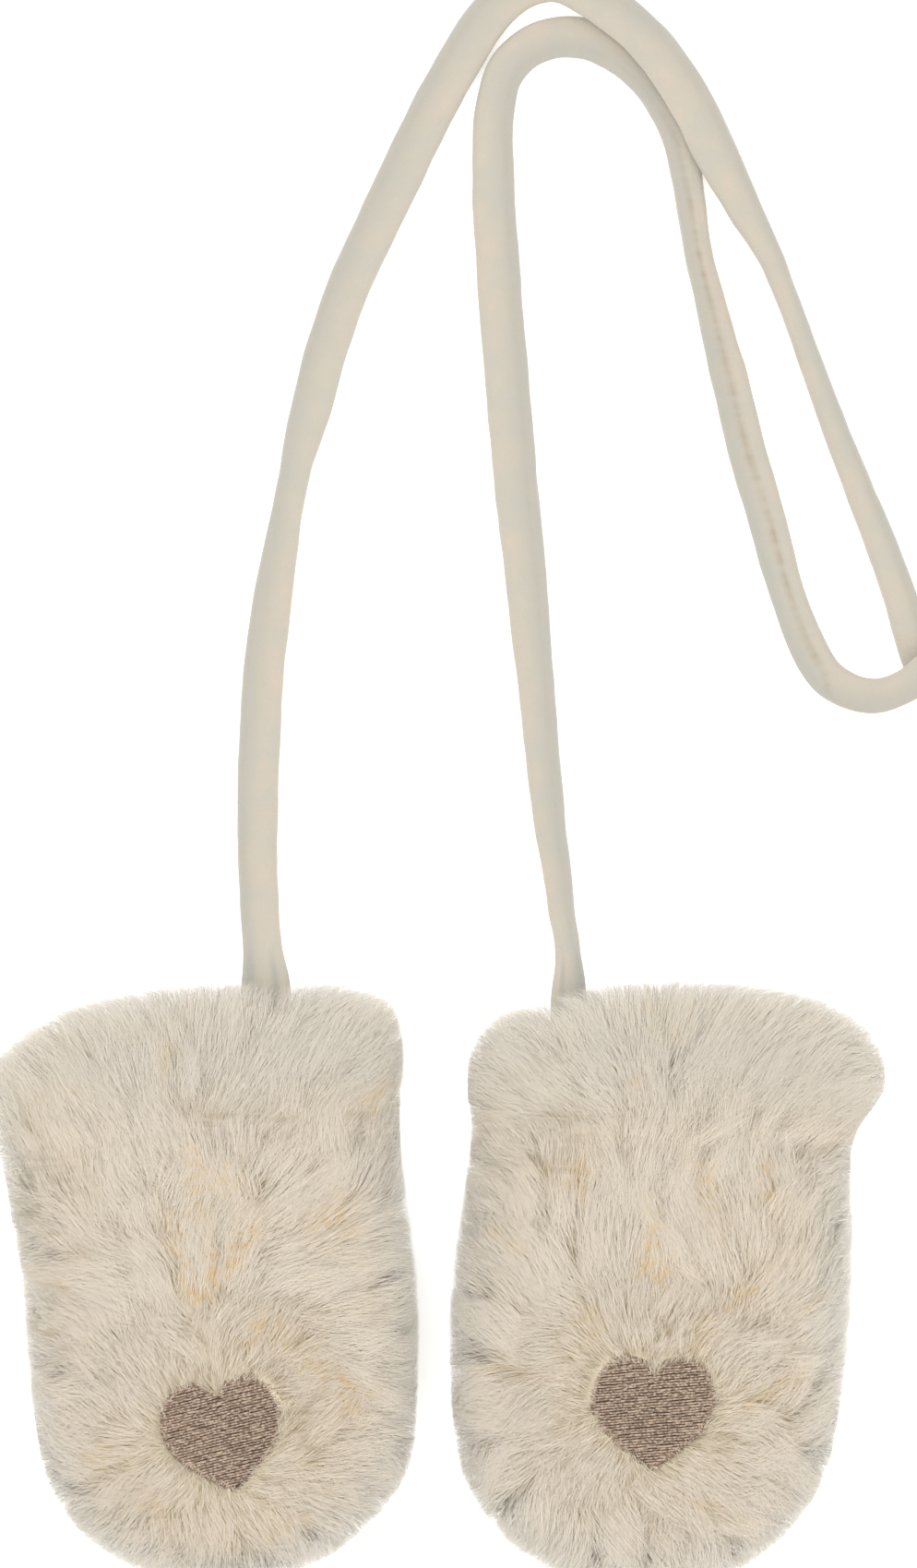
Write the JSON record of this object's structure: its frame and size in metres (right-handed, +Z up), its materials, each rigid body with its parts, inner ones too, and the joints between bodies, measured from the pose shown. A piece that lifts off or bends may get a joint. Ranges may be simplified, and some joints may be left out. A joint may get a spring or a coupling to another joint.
{
  "type": "pair of baby mittens",
  "caption": "Pair of thumbless baby mittens in long cream faux fur with a gathered wrist and an embroidered heart, joined by a soft velour cord and laid flat.",
  "frame": {"origin": "on the table, under the middle of the two mittens' bounding box, without the cord", "axes": "+X from the left mitten to the right one as seen from above, +Y from the fingertips to the cuffs, +Z up from the table"},
  "size_m": [0.2381, 0.3526, 0.0277],
  "materials": {
    "fur": "long soft faux fur, matt with a faint sheen along the pile",
    "velour": "short soft nap with a pale sheen at its edges",
    "embroidery": "satin-stitched thread, softly glossy along the stitches"
  },
  "bodies": {
    "root": {"left_front_panel": "fur", "left_back_panel": "fur", "left_heart": "embroidery", "right_front_panel": "fur", "right_back_panel": "fur", "right_heart": "embroidery", "cord": "velour"}
  },
  "joints": []
}
